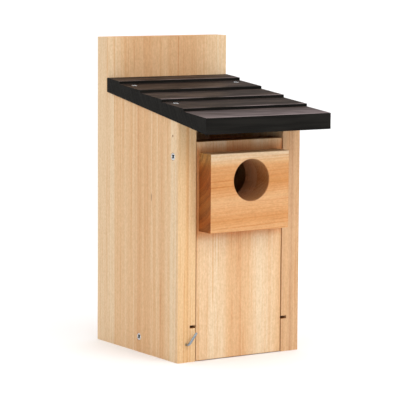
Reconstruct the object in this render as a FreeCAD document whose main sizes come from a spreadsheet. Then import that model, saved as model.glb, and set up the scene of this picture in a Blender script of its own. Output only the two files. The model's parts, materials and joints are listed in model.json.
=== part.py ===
import FreeCAD, Part
import math
import os
import re

import Sketcher

# Cedar nest box: two side panels, a taller back board, a floor and a lapped roof make the fixed box.
# The front door turns on two screws near its top and is held shut by an L-shaped hook.
# Frame: +X to the right seen from the front, +Y to the back, +Z up.
# Origin: centre of the overall box on the ground.

# Driving dimensions in millimetres: alias, value, what it sets.
DIMENSIONS = (
    ("body_width", 140.0, "across the two side panels"),
    ("back_height", 305.0, "back board, bottom to top"),
    ("back_thickness", 20.0, "back board"),
    ("side_depth", 131.0, "side panel, front edge to back board"),
    ("side_front_height", 230.0, "side panel at its front edge"),
    ("roof_rise", 21.3, "side panel's rear edge above its front edge"),
    ("side_thickness", 20.0, "side panels"),
    ("roof_side_lap", 1.0, "roof past each side panel"),
    ("roof_overhang", 49.0, "roof in front of the side panels"),
    ("roof_butt", 15.4, "roof at the front of each course, measured plumb"),
    ("course_length", 39.0, "front to back run of one course"),
    ("course_drop", 2.6, "step between two courses"),
    ("floor_thickness", 20.0, "floor board"),
    ("floor_recess", 5.0, "floor board above the ground"),
    ("floor_gap", 0.3, "floor board to the panels around it"),
    ("drain_diameter", 6.4, "drain holes through the floor"),
    ("drain_inset", 16.0, "drain holes from the floor's edges"),
    ("mesh_rise", 9.0, "middle of the grooves above the floor board"),
    ("mesh_wire", 1.2, "wire of the mesh"),
    ("mesh_pitch", 12.7, "wire to wire in the mesh"),
    ("mesh_weld", 0.2, "how far crossing wires sink together"),
    ("groove_depth", 6.3, "groove into the side panel"),
    ("mesh_fit", 0.3, "groove above and below the mesh"),
    ("mesh_side_gap", 0.5, "mesh to the bottom of the groove"),
    ("mesh_end_gap", 0.8, "mesh to the back board and to the door"),
    ("door_thickness", 20.0, "door"),
    ("door_gap", 1.0, "door to each side panel"),
    ("door_lift", 0.4, "door above the ground"),
    ("door_stop_gap", 0.8, "door's inner face to the floor's edge"),
    ("vent_height", 19.0, "open slot between door and roof at the front"),
    ("pivot_drop", 14.0, "pivot below the door's top edge"),
    ("hole_diameter", 40.0, "entrance hole"),
    ("hole_drop", 37.0, "middle of the entrance hole below the door's top edge"),
    ("guard_margin", 4.0, "door past the guard on each side, before the shift"),
    ("guard_height", 75.0, "predator guard along Z"),
    ("guard_thickness", 20.0, "predator guard"),
    ("guard_drop", 48.5, "lower edge of the guard below the hole's middle"),
    ("guard_shift", 1.5, "guard's middle to the left of the hole"),
    ("eased_edge", 0.8, "rounding of the guard's and door's front edges"),
    ("ladder_count", 5.0, "saw cuts under the hole, inside the door"),
    ("ladder_pitch", 12.7, "saw cut to saw cut"),
    ("ladder_height", 2.4, "width of a saw cut"),
    ("ladder_depth", 3.0, "depth of a saw cut"),
    ("ladder_margin", 14.0, "hole's lower edge to the first saw cut"),
    ("screw_head", 7.0, "wood screw head"),
    ("screw_shank", 3.5, "wood screw body"),
    ("screw_tip", 4.0, "length of a screw's point"),
    ("screw_sink", 0.3, "head below the wood"),
    ("screw_fit", 0.05, "hole wall to screw"),
    ("recess_span", 4.0, "cross recess, tip to tip"),
    ("recess_slot", 1.1, "width of one arm of the recess"),
    ("recess_depth", 1.8, "depth of the recess"),
    ("pivot_length", 42.0, "pivot screws"),
    ("pivot_fit", 0.08, "door bore to pivot screw"),
    ("floor_screw_length", 38.0, "floor screws"),
    ("floor_screw_setback", 71.0, "floor screws behind the side panel's front edge"),
    ("back_screw_length", 38.0, "screws through the back board"),
    ("back_screw_count", 3.0, "screws into each side panel"),
    ("back_screw_margin", 30.0, "first and last back screw from the panel's ends"),
    ("roof_screw_length", 32.0, "roof screws"),
    ("roof_screw_setback", 21.0, "front roof screw behind the side panel's front edge"),
    ("roof_screw_spacing", 76.0, "front to rear roof screws"),
    ("guard_screw_length", 34.0, "screws through the door into the guard"),
    ("guard_screw_inset", 9.5, "right guard screw from the guard's right edge"),
    ("hook_wire", 2.4, "wire of the hook"),
    ("hook_level", 17.4, "hook's shank above the ground"),
    ("hook_reach", 4.5, "arm's middle in front of the panel"),
    ("hook_lap", 3.4, "hook's tip over the door's edge"),
    ("hook_bend", 2.6, "radius of the bend"),
    ("hook_shank", 26.0, "shank inside the panel"),
    ("hook_point", 5.0, "length of the shank's point"),
    ("hook_fit", 0.06, "panel bore to shank"),
    ("hook_rest_angle", 52.0, "arm above level when released"),
    ("keyhole_entry", 9.6, "keyhole's round entry"),
    ("keyhole_slot", 4.8, "keyhole's slot"),
    ("keyhole_travel", 14.0, "entry to the slot's upper end"),
    ("keyhole_lip", 3.0, "wood left in front of the undercut"),
    ("keyhole_depth", 9.0, "keyhole, rear face to bottom"),
    ("keyhole_drop", 43.0, "middle of the entry below the board's top edge"),
)

# Sizes that follow from the driving ones.
DERIVED = {
    "side_rear_height": "(side_front_height + roof_rise)",
    "side_middle": "(body_width / 2 - side_thickness / 2)",
    "front_y": "((roof_overhang - side_depth - back_thickness) / 2)",
    "rear_y": "((roof_overhang + side_depth + back_thickness) / 2)",
    "roof_slope": "(roof_rise / side_depth)",
    "course_lean": "atan(roof_slope - course_drop / course_length)",
    "roof_width": "(body_width + 2 * roof_side_lap)",
    "roof_length": "(roof_overhang + side_depth)",
    "inner_width": "(body_width - 2 * side_thickness)",
    "door_width": "(inner_width - 2 * door_gap)",
    "door_top": "(side_front_height - vent_height)",
    "pivot_level": "(door_top - pivot_drop)",
    "hole_level": "(door_top - hole_drop)",
    "guard_level": "(hole_level - guard_drop)",
    "guard_width": "(door_width - 2 * guard_margin)",
    "guard_screw_spacing": "(guard_width - 2 * guard_shift - 2 * guard_screw_inset)",
    "head_height": "((screw_head - screw_shank) / 2)",
    "mesh_height": "(2 * mesh_wire - mesh_weld)",
    "mesh_level": "(floor_recess + floor_thickness + mesh_rise)",
    "groove_height": "(mesh_height + 2 * mesh_fit)",
    "hook_arm": "(side_thickness / 2 + door_gap + hook_lap)",
    "keyhole_level": "(back_height - keyhole_drop)",
}

doc = FreeCAD.newDocument("NestBox")
sheet = doc.addObject("Spreadsheet::Sheet", "Dims")
for row, (alias, size, meaning) in enumerate(DIMENSIONS, start=1):
    sheet.set(f"A{row}", meaning)
    sheet.set(f"B{row}", str(size))
    sheet.setAlias(f"B{row}", alias)
doc.recompute()

DERIVED_WORDS = re.compile(r"\b(" + "|".join(DERIVED) + r")\b")
SHEET_WORDS = re.compile(r"\b(" + "|".join(alias for alias, _, _ in DIMENSIONS) + r")\b")


def formula(text):
    """Write an expression on the sheet's cells from plain size names."""
    text = str(text)
    while DERIVED_WORDS.search(text):
        text = DERIVED_WORDS.sub(lambda word: DERIVED[word.group()], text)
    return SHEET_WORDS.sub(r"Dims.\1", text)


def number(text):
    """Present value of an expression on the sheet."""
    return float(sheet.evalExpression(formula(text)))


def bind(thing, prop, text):
    """Tie a property to an expression on the sheet."""
    thing.setExpression(prop, formula(text))


def place(thing, x="0", y="0", z="0", turn=None):
    """Set where a thing stands, each coordinate an expression.
    turn is a rotation, or an axis and an expression for the angle about it."""
    if isinstance(turn, tuple):
        axis, angle = turn
        thing.Placement = FreeCAD.Placement(FreeCAD.Vector(), FreeCAD.Rotation(axis, number(angle)))
        bind(thing, "Placement.Rotation.Angle", angle)
    elif turn is not None:
        thing.Placement = FreeCAD.Placement(FreeCAD.Vector(), turn)
    bind(thing, "Placement.Base.x", x)
    bind(thing, "Placement.Base.y", y)
    bind(thing, "Placement.Base.z", z)


def facing(x, y, z):
    """Rotation that turns local +Z to a direction."""
    return FreeCAD.Rotation(FreeCAD.Vector(0, 0, 1), FreeCAD.Vector(x, y, z))


RIGHTWARD = facing(1, 0, 0)
LEFTWARD = facing(-1, 0, 0)
FORWARD = facing(0, -1, 0)
BACKWARD = facing(0, 1, 0)
INTO_ROOF = (FreeCAD.Vector(-1, 0, 0), "180 deg - course_lean")


# Sketch and feature helpers

def new_body(label):
    body = doc.addObject("PartDesign::Body", label)
    body.Label = label
    return body


def sketch_on(body, role, name, offset="0"):
    """Sketch on one of the body's own origin planes, moved along the plane's normal."""
    sketch = body.newObject("Sketcher::SketchObject", name)
    plane = next(feature for feature in body.Origin.OriginFeatures if feature.Role == role)
    sketch.AttachmentSupport = (plane, [""])
    sketch.MapMode = "FlatFace"
    if offset != "0":
        bind(sketch, "AttachmentOffset.Base.z", offset)
    return sketch


def fix_point(sketch, edge, end, x, y):
    """Hold one point of the sketch at two expressions."""
    for kind, axis, text in (("DistanceX", -2, x), ("DistanceY", -1, y)):
        if str(text) == "0":
            sketch.addConstraint(Sketcher.Constraint("PointOnObject", edge, end, axis))
            continue
        index = sketch.addConstraint(Sketcher.Constraint(kind, -1, 1, edge, end, number(text)))
        sketch.setExpression(f"Constraints[{index}]", formula(text))


def polygon(sketch, corners):
    """Closed outline through corners given as pairs of expressions."""
    spots = [FreeCAD.Vector(number(x), number(y), 0) for x, y in corners]
    count = len(corners)
    first = sketch.GeometryCount
    for i in range(count):
        sketch.addGeometry(Part.LineSegment(spots[i], spots[(i + 1) % count]), False)
    for i in range(count):
        following = first + (i + 1) % count
        sketch.addConstraint(Sketcher.Constraint("Coincident", first + i, 2, following, 1))
    for i, (x, y) in enumerate(corners):
        fix_point(sketch, first + i, 1, x, y)


def rectangle(sketch, left, bottom, right, top):
    polygon(sketch, ((left, bottom), (right, bottom), (right, top), (left, top)))


def circle(sketch, x, y, diameter):
    middle = FreeCAD.Vector(number(x), number(y), 0)
    radius = number(diameter) / 2
    ring = sketch.addGeometry(Part.Circle(middle, FreeCAD.Vector(0, 0, 1), radius), False)
    fix_point(sketch, ring, 3, x, y)
    index = sketch.addConstraint(Sketcher.Constraint("Diameter", ring, 2 * radius))
    sketch.setExpression(f"Constraints[{index}]", formula(diameter))


def pad(body, sketch, length, reverse=False):
    feature = body.newObject("PartDesign::Pad", sketch.Name + "_pad")
    feature.Profile = sketch
    feature.Reversed = reverse
    bind(feature, "Length", length)
    return feature


def pocket(body, sketch, depth, reverse=False):
    feature = body.newObject("PartDesign::Pocket", sketch.Name + "_pocket")
    feature.Profile = sketch
    feature.Reversed = reverse
    bind(feature, "Length", depth)
    return feature


def bore(body, name, radius, depth, x, y, z, turn):
    """Round hole from a point along the turned +Z."""
    feature = body.newObject("PartDesign::SubtractiveCylinder", name)
    bind(feature, "Radius", radius)
    bind(feature, "Height", depth)
    place(feature, x, y, z, turn)
    return feature


def countersink(body, name, x, y, z, turn):
    """Conical seat for a flat screw head, widest at the point."""
    feature = body.newObject("PartDesign::SubtractiveCone", name)
    bind(feature, "Radius1", "screw_head / 2 + screw_sink + 3 * screw_fit")
    bind(feature, "Radius2", "screw_shank / 2 + screw_fit")
    bind(feature, "Height", "head_height + screw_sink + 2 * screw_fit")
    place(feature, x, y, z, turn)
    return feature


def ease(body, name, wanted):
    """Round the edges for which wanted(edge) holds."""
    doc.recompute()
    base = body.Tip
    names = [f"Edge{i}" for i, edge in enumerate(base.Shape.Edges, start=1) if wanted(edge)]
    feature = body.newObject("PartDesign::Fillet", name)
    feature.Base = (base, names)
    bind(feature, "Radius", "eased_edge")


def group(label, members):
    """One node that holds several separate solids."""
    compound = doc.addObject("Part::Compound", label)
    compound.Label = label
    compound.Links = members
    return compound


# Fasteners

def wood_screw(name, length):
    """Countersunk screw with a cross recess: head at the origin, point along +Z."""
    body = new_body(name)
    outline = sketch_on(body, "XZ_Plane", name + "_outline")
    polygon(outline, (
        ("0", "0"),
        ("screw_head / 2", "0"),
        ("screw_shank / 2", "head_height"),
        ("screw_shank / 2", f"{length} - screw_tip"),
        ("0", length),
    ))
    turned = body.newObject("PartDesign::Revolution", name + "_turned")
    turned.Profile = outline
    turned.ReferenceAxis = (outline, ["V_Axis"])
    turned.Angle = 360
    cross = sketch_on(body, "XY_Plane", name + "_cross")
    far = "recess_span / 2"
    near = "recess_slot / 2"
    quarter = ((far, near), (near, near), (near, far))
    corners = list(quarter)
    for _ in range(3):
        quarter = tuple((f"-({y})", x) for x, y in quarter)
        corners.extend(quarter)
    polygon(cross, corners)
    pocket(body, cross, "recess_depth", reverse=True)
    return body


# Side panels

def back_screw_level(index):
    """Height of one back screw: spread evenly between the margins."""
    span = "(side_rear_height - 2 * back_screw_margin)"
    return f"back_screw_margin + {span} * {index} / (back_screw_count - 1)"


def roof_underside(setback):
    """Height of the roof's underside, by distance behind the side panels' front edge."""
    return f"(side_front_height + roof_slope * ({setback}))"


def side_panel(label, side):
    """Panel with a sloped top. side is -1 for the left panel and 1 for the right one."""
    body = new_body(label)
    outline = sketch_on(body, "YZ_Plane", label + "_outline")
    polygon(outline, (
        ("0", "0"),
        ("side_depth", "0"),
        ("side_depth", "side_rear_height"),
        ("0", "side_front_height"),
    ))
    pad(body, outline, "side_thickness")
    outer = "0" if side < 0 else "side_thickness"
    inner = "side_thickness" if side < 0 else "0"
    inward = RIGHTWARD if side < 0 else LEFTWARD

    groove = sketch_on(body, "XZ_Plane", label + "_groove")
    groove_floor = f"{inner} + groove_depth" if side > 0 else f"{inner} - groove_depth"
    low = "mesh_level - groove_height / 2"
    high = "mesh_level + groove_height / 2"
    rectangle(groove, min_text(inner, groove_floor), low, max_text(inner, groove_floor), high)
    pocket(body, groove, "side_depth")

    through = "side_thickness"
    hole = "screw_shank / 2 + screw_fit"
    middle = "door_thickness / 2"
    bore(body, label + "_pivot_hole", hole, through, outer, middle, "pivot_level", inward)
    countersink(body, label + "_pivot_seat", outer, middle, "pivot_level", inward)
    level = "floor_recess + floor_thickness / 2"
    bore(body, label + "_floor_hole", hole, through, outer, "floor_screw_setback", level, inward)
    countersink(body, label + "_floor_seat", outer, "floor_screw_setback", level, inward)

    centre = "side_thickness / 2"
    pilot = "back_screw_length - back_thickness + screw_sink + screw_fit"
    for i in range(int(number("back_screw_count"))):
        name = f"{label}_back_pilot_{i + 1}"
        bore(body, name, hole, pilot, centre, "side_depth", back_screw_level(i), FORWARD)
    pilot = "screw_sink + roof_screw_length + screw_fit"
    for end, setback in roof_screw_rows("left" if side < 0 else "right"):
        name = f"{label}_roof_pilot_{end}"
        bore(body, name, hole, pilot, centre, setback, course_top(setback), INTO_ROOF)
    if side < 0:
        depth = "hook_shank + hook_fit"
        shank = "hook_wire / 2 + hook_fit"
        bore(body, label + "_hook_pilot", shank, depth, centre, "0", "hook_level", BACKWARD)
    corner = "-body_width / 2" if side < 0 else "body_width / 2 - side_thickness"
    place(body, corner, "front_y")
    return body


def min_text(first, second):
    return first if number(first) < number(second) else second


def max_text(first, second):
    return second if number(first) < number(second) else first


# Back board

def back_panel():
    """Back board, taller than the box, with a keyhole routed into its rear face."""
    body = new_body("back_panel")
    outline = sketch_on(body, "XZ_Plane", "back_panel_outline")
    rectangle(outline, "0", "0", "body_width", "back_height")
    pad(body, outline, "back_thickness", reverse=True)

    hole = "screw_shank / 2 + screw_fit"
    for side, x in (("left", "side_thickness / 2"), ("right", "body_width - side_thickness / 2")):
        for i in range(int(number("back_screw_count"))):
            name = f"back_{side}_{i + 1}"
            level = back_screw_level(i)
            bore(body, name + "_hole", hole, "back_thickness", x, "back_thickness", level, FORWARD)
            countersink(body, name + "_seat", x, "back_thickness", level, FORWARD)

    middle = "body_width / 2"
    top = "keyhole_level + keyhole_travel"
    entry = sketch_on(body, "XZ_Plane", "keyhole_entry_outline", "-back_thickness")
    circle(entry, middle, "keyhole_level", "keyhole_entry")
    pocket(body, entry, "keyhole_depth", reverse=True)
    slot = sketch_on(body, "XZ_Plane", "keyhole_slot_outline", "-back_thickness")
    rectangle(slot, f"{middle} - keyhole_slot / 2", "keyhole_level",
              f"{middle} + keyhole_slot / 2", top)
    pocket(body, slot, "keyhole_depth", reverse=True)
    under = sketch_on(body, "XZ_Plane", "keyhole_undercut_outline", "keyhole_lip - back_thickness")
    rectangle(under, f"{middle} - keyhole_entry / 2", "keyhole_level",
              f"{middle} + keyhole_entry / 2", f"{top} + keyhole_slot / 2")
    pocket(body, under, "keyhole_depth - keyhole_lip", reverse=True)
    place(body, "-body_width / 2", "rear_y - back_thickness")
    return body


# Floor and mesh

def floor_panel():
    """Floor board between the side panels, with a drain hole near each corner."""
    body = new_body("floor_panel")
    width = "inner_width - 2 * floor_gap"
    depth = "side_depth - floor_gap - door_thickness - door_stop_gap"
    outline = sketch_on(body, "XY_Plane", "floor_outline")
    rectangle(outline, "0", "0", width, depth)
    pad(body, outline, "floor_thickness")
    drains = sketch_on(body, "XY_Plane", "floor_drains")
    for x in ("drain_inset", f"{width} - drain_inset"):
        for y in ("drain_inset", f"{depth} - drain_inset"):
            circle(drains, x, y, "drain_diameter")
    pocket(body, drains, "floor_thickness", reverse=True)
    pilot = "floor_screw_length - side_thickness - floor_gap + screw_sink + screw_fit"
    setback = "floor_screw_setback - door_thickness - door_stop_gap"
    middle = "floor_thickness / 2"
    hole = "screw_shank / 2 + screw_fit"
    bore(body, "floor_left_pilot", hole, pilot, "0", setback, middle, RIGHTWARD)
    bore(body, "floor_right_pilot", hole, pilot, width, setback, middle, LEFTWARD)
    start = "front_y + door_thickness + door_stop_gap"
    place(body, "-inner_width / 2 + floor_gap", start, "floor_recess")
    return body


def mesh_wires(along, span, other_span, level):
    """Parallel wires of the given length, spread evenly over the other span."""
    room = number(other_span) - number("mesh_wire")
    gaps = max(1, round(room / number("mesh_pitch")))
    wires = []
    for i in range(gaps + 1):
        wire = doc.addObject("Part::Cylinder", f"mesh_{along}_{i + 1}")
        bind(wire, "Radius", "mesh_wire / 2")
        bind(wire, "Height", span)
        start = f"-({span}) / 2"
        across = f"(({other_span}) - mesh_wire) * ({i} / {gaps} - 1 / 2)"
        if along == "x":
            place(wire, start, across, level, RIGHTWARD)
        else:
            place(wire, across, start, level, BACKWARD)
        wires.append(wire)
    return wires


def mesh_floor():
    """Welded wire mesh whose ends lie in the side panels' grooves."""
    width = "(inner_width + 2 * groove_depth - 2 * mesh_side_gap)"
    depth = "(side_depth - door_thickness - 2 * mesh_end_gap)"
    upper = "mesh_height / 2 - mesh_wire / 2"
    cross_wires = mesh_wires("x", width, depth, f"-({upper})")
    long_wires = mesh_wires("y", depth, width, upper)
    mesh = doc.addObject("Part::MultiFuse", "mesh_floor")
    mesh.Label = "mesh_floor"
    mesh.Shapes = cross_wires + long_wires
    place(mesh, "0", "front_y + (door_thickness + side_depth) / 2",
          "mesh_level - groove_height / 2 + mesh_height / 2 + mesh_fit")
    return mesh


# Door and guard

def front_door():
    """Door board with the entrance hole, saw cuts inside for fledglings and pivot bores."""
    body = new_body("front_door")
    height = "door_top - door_lift"
    outline = sketch_on(body, "XZ_Plane", "door_outline")
    rectangle(outline, "0", "0", "door_width", height)
    pad(body, outline, "door_thickness", reverse=True)
    ease(body, "door_eased", lambda edge: edge.BoundBox.YMax < 1e-6)

    opening = sketch_on(body, "XZ_Plane", "door_opening")
    circle(opening, "door_width / 2", "hole_level - door_lift", "hole_diameter")
    pocket(body, opening, "door_thickness")
    for i in range(int(number("ladder_count"))):
        rung = sketch_on(body, "XZ_Plane", f"ladder_{i + 1}", "-door_thickness")
        top = f"hole_level - door_lift - hole_diameter / 2 - ladder_margin - {i} * ladder_pitch"
        rectangle(rung, "0", f"{top} - ladder_height", "door_width", top)
        pocket(body, rung, "ladder_depth", reverse=True)

    reach = "pivot_length + screw_sink - side_thickness - door_gap + 1"
    bearing = "screw_shank / 2 + pivot_fit"
    middle = "door_thickness / 2"
    level = "pivot_level - door_lift"
    bore(body, "door_left_bearing", bearing, reach, "0", middle, level, RIGHTWARD)
    bore(body, "door_right_bearing", bearing, reach, "door_width", middle, level, LEFTWARD)
    hole = "screw_shank / 2 + screw_fit"
    for i, side in enumerate((-1, 1)):
        x = f"door_width / 2 + ({side}) * guard_screw_spacing / 2"
        z = "guard_level + guard_height / 2 - door_lift"
        bore(body, f"door_guard_hole_{i + 1}", hole, "door_thickness", x, "door_thickness", z, FORWARD)
        countersink(body, f"door_guard_seat_{i + 1}", x, "door_thickness", z, FORWARD)
    place(body, "-door_width / 2", "front_y", "door_lift")
    return body


def predator_guard():
    """Thick block in front of the door that makes the entrance a short tunnel."""
    body = new_body("predator_guard")
    outline = sketch_on(body, "XZ_Plane", "guard_outline")
    rectangle(outline, "0", "0", "guard_width", "guard_height")
    pad(body, outline, "guard_thickness", reverse=True)
    opening = sketch_on(body, "XZ_Plane", "guard_opening")
    hole_x = "guard_width / 2 + guard_shift"
    circle(opening, hole_x, "hole_level - guard_level", "hole_diameter")
    pocket(body, opening, "guard_thickness")
    ease(body, "guard_eased", lambda edge: edge.BoundBox.YMax < 1e-6)
    hole = "screw_shank / 2 + screw_fit"
    pilot = "guard_screw_length - door_thickness + screw_sink + screw_fit"
    for i, side in enumerate((-1, 1)):
        x = f"{hole_x} + ({side}) * guard_screw_spacing / 2"
        bore(body, f"guard_pilot_{i + 1}", hole, pilot, x, "guard_thickness", "guard_height / 2", FORWARD)
    place(body, "-guard_width / 2 - guard_shift", "front_y - guard_thickness", "guard_level")
    return body


# Roof

def roof():
    """Roof board whose top is milled into lapped courses, each thickest at its front."""
    body = new_body("roof")
    outline = sketch_on(body, "YZ_Plane", "roof_outline")
    length = number("roof_length")
    run = number("course_length")
    steps = math.ceil(length / run - 1e-6)
    last = f"(roof_length - {steps - 1} * course_length)"
    corners = [("0", "0"), ("roof_length", "roof_length * roof_slope")]
    tail = f"roof_length * roof_slope + roof_butt - course_drop * {last} / course_length"
    corners.append(("roof_length", tail))
    for i in range(steps - 1, 0, -1):
        start = f"{i} * course_length"
        corners.append((start, f"{start} * roof_slope + roof_butt"))
        corners.append((start, f"{start} * roof_slope + roof_butt - course_drop"))
    corners.append(("0", "roof_butt"))
    polygon(outline, corners)
    pad(body, outline, "roof_width")

    hole = "screw_shank / 2 + screw_fit"
    for side, x in (("left", "roof_width / 2 - side_middle"), ("right", "roof_width / 2 + side_middle")):
        for end, setback in roof_screw_rows(side):
            y = f"roof_overhang + {setback}"
            name = f"roof_{side}_{end}"
            top = f"{course_top(setback)} - side_front_height + roof_overhang * roof_slope"
            bore(body, name + "_hole", hole, "roof_butt", x, y, top, INTO_ROOF)
            countersink(body, name + "_seat", x, y, top, INTO_ROOF)
    place(body, "-roof_width / 2", "front_y - roof_overhang", roof_underside("-roof_overhang"))
    return body


def roof_screw_rows(side):
    """Roof screws on one side: a front and a rear one on the left, only a rear one on the right."""
    front = ("front", "roof_screw_setback")
    rear = ("rear", "(roof_screw_setback + roof_screw_spacing)")
    return (front, rear) if side == "left" else (rear,)


def course_top(setback):
    """Height of the roof's top, by distance behind the side panels' front edge."""
    behind_front = number(f"roof_overhang + {setback}")
    course = math.floor(behind_front / number("course_length"))
    into_course = f"(roof_overhang + {setback} - {course} * course_length)"
    sunk = f"course_drop * {into_course} / course_length"
    return f"{roof_underside(setback)} + roof_butt - {sunk}"


# Hook

def latch_hook():
    """L-shaped screw hook: shank along +Y into the panel, arm across the front."""
    body = new_body("latch_hook")
    path = sketch_on(body, "XY_Plane", "hook_path")
    reach = number("hook_reach")
    bend = number("hook_bend")
    arm = number("hook_arm")
    shank_end = number("hook_shank - hook_point")
    corner = FreeCAD.Vector(bend, bend - reach, 0)
    path.addGeometry(Part.LineSegment(FreeCAD.Vector(0, shank_end, 0), FreeCAD.Vector(0, bend - reach, 0)))
    ring = Part.Circle(corner, FreeCAD.Vector(0, 0, 1), bend)
    path.addGeometry(Part.ArcOfCircle(ring, math.pi, 1.5 * math.pi))
    path.addGeometry(Part.LineSegment(FreeCAD.Vector(bend, -reach, 0), FreeCAD.Vector(arm, -reach, 0)))
    path.addConstraint(Sketcher.Constraint("Tangent", 0, 2, 1, 1))
    path.addConstraint(Sketcher.Constraint("Tangent", 1, 2, 2, 1))
    path.addConstraint(Sketcher.Constraint("Vertical", 0))
    path.addConstraint(Sketcher.Constraint("Horizontal", 2))
    fix_point(path, 0, 1, "0", "hook_shank - hook_point")
    fix_point(path, 2, 2, "hook_arm", "-hook_reach")
    index = path.addConstraint(Sketcher.Constraint("Radius", 1, bend))
    path.setExpression(f"Constraints[{index}]", formula("hook_bend"))

    section = sketch_on(body, "XZ_Plane", "hook_section", "hook_point - hook_shank")
    circle(section, "0", "0", "hook_wire")
    doc.recompute()
    pipe = body.newObject("PartDesign::AdditivePipe", "hook_bar")
    pipe.Profile = section
    pipe.Spine = (path, ["Edge1", "Edge2", "Edge3"])
    point = body.newObject("PartDesign::AdditiveCone", "hook_tip")
    bind(point, "Radius1", "hook_wire / 2")
    point.Radius2 = 0
    bind(point, "Height", "hook_point")
    place(point, "0", "hook_shank - hook_point", "0", BACKWARD)
    raised = (FreeCAD.Vector(0, -1, 0), "hook_rest_angle")
    place(body, "-side_middle", "front_y", "hook_level", raised)
    return body


# Screws in their places

def placed_screw(name, length, x, y, z, turn):
    screw = wood_screw(name, length)
    place(screw, x, y, z, turn)
    return screw


def side_screws(label, length, y, z):
    """One screw through each side panel, driven inward, as a left and a right node."""
    edge = "body_width / 2 - screw_sink"
    left = placed_screw("left_" + label, length, f"-({edge})", y, z, RIGHTWARD)
    right = placed_screw("right_" + label, length, edge, y, z, LEFTWARD)
    return [left, right]


def back_screws(side, x):
    screws = []
    for i in range(int(number("back_screw_count"))):
        name = f"{side}_back_screw_{i + 1}"
        level = back_screw_level(i)
        screws.append(placed_screw(name, "back_screw_length", x, "rear_y - screw_sink", level, FORWARD))
    return group(f"{side}_back_screws", screws)


def roof_screws(side, x):
    screws = []
    for end, setback in roof_screw_rows(side):
        name = f"{side}_{end}_roof_screw"
        y = f"front_y + {setback} + screw_sink * sin(course_lean)"
        z = f"{course_top(setback)} - screw_sink * cos(course_lean)"
        screws.append(placed_screw(name, "roof_screw_length", x, y, z, INTO_ROOF))
    return group(f"{side}_roof_screws", screws) if len(screws) > 1 else screws[0]


def guard_screws():
    screws = []
    y = "front_y + door_thickness - screw_sink"
    z = "guard_level + guard_height / 2"
    for side, sign in (("left", -1), ("right", 1)):
        x = f"({sign}) * guard_screw_spacing / 2"
        screws.append(placed_screw(f"{side}_guard_screw", "guard_screw_length", x, y, z, FORWARD))
    return group("guard_screws", screws)


nodes = [
    side_panel("left_side_panel", -1),
    side_panel("right_side_panel", 1),
    back_panel(),
    floor_panel(),
    mesh_floor(),
    front_door(),
    predator_guard(),
    roof(),
    latch_hook(),
]
nodes += side_screws("pivot_screw", "pivot_length", "front_y + door_thickness / 2", "pivot_level")
nodes += side_screws("floor_screw", "floor_screw_length", "front_y + floor_screw_setback",
                     "floor_recess + floor_thickness / 2")
for side_name, side_x in (("left", "-side_middle"), ("right", "side_middle")):
    nodes.append(back_screws(side_name, side_x))
    nodes.append(roof_screws(side_name, side_x))
nodes.append(guard_screws())

doc.recompute()


# Checks, then the files

CUTS = ("PartDesign::Pocket", "PartDesign::SubtractiveCylinder", "PartDesign::SubtractiveCone")
problems = []
for thing in doc.Objects:
    if "Invalid" in thing.State or "Error" in thing.State:
        problems.append(f"{thing.Name} failed: {thing.State}")
    if thing.TypeId in CUTS and thing.BaseFeature.Shape.Volume - thing.Shape.Volume < 0.01:
        problems.append(f"{thing.Name} cuts nothing")
for node in nodes:
    if node.Shape.isNull() or not node.Shape.isValid():
        problems.append(f"{node.Label} has no valid shape")
if problems:
    raise RuntimeError("; ".join(problems))

os.makedirs("parts", exist_ok=True)
for node in nodes:
    node.Shape.exportStep(os.path.join("parts", node.Label + ".step"))
print(f"{len(nodes)} nodes, {sum(len(node.Shape.Solids) for node in nodes)} solids")
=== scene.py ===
import json
import math

import bpy
import numpy as np
from bpy.props import FloatProperty, FloatVectorProperty, PointerProperty
from mathutils import Matrix, Vector


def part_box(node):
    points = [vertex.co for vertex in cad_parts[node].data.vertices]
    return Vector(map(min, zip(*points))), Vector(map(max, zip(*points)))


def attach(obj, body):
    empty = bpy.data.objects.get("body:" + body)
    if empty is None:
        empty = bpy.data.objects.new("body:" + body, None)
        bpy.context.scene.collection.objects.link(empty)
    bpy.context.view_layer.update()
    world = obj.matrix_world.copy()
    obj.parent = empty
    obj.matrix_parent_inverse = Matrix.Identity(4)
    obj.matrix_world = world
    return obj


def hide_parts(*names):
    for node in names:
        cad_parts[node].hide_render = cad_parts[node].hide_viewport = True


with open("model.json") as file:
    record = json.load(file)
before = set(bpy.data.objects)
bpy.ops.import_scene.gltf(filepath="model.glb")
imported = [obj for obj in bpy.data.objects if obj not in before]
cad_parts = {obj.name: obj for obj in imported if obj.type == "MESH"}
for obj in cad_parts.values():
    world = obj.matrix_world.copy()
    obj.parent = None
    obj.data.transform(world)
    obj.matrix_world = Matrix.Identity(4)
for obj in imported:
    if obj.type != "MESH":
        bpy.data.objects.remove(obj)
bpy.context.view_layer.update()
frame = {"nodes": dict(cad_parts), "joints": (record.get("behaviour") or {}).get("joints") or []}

bl_info = {
    "name": "Cedar Nest Box",
    "version": (1, 0, 0),
    "blender": (4, 5, 0),
    "location": "3D View > Sidebar > Nest Box",
    "description": "Finishes a packed nest box: boards, stained roof, screws, hook, mesh and stage",
    "category": "Object",
}

MM = 0.001
TO_MM = (1 / MM,) * 3


# Shared helpers

def linear(hex_colour):
    """sRGB hex to the linear values that shaders take."""
    shares = [int(hex_colour[i:i + 2], 16) / 255 for i in (1, 3, 5)]
    return [s / 12.92 if s <= 0.04045 else ((s + 0.055) / 1.055) ** 2.4 for s in shares]


def rgba(colour):
    """Colour with the fourth value that colour sockets want."""
    return (*colour[:3], 1.0)


def node(tree, kind, sockets=None, **settings):
    """Add a node: settings are its own, sockets maps input names to values, sockets or nodes."""
    made = tree.nodes.new(kind)
    for key, value in settings.items():
        setattr(made, key, value)
    for key, value in (sockets or {}).items():
        if isinstance(value, bpy.types.Node):
            value = value.outputs[0]
        if isinstance(value, bpy.types.NodeSocket):
            tree.links.new(value, made.inputs[key])
        else:
            made.inputs[key].default_value = value
    return made


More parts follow.
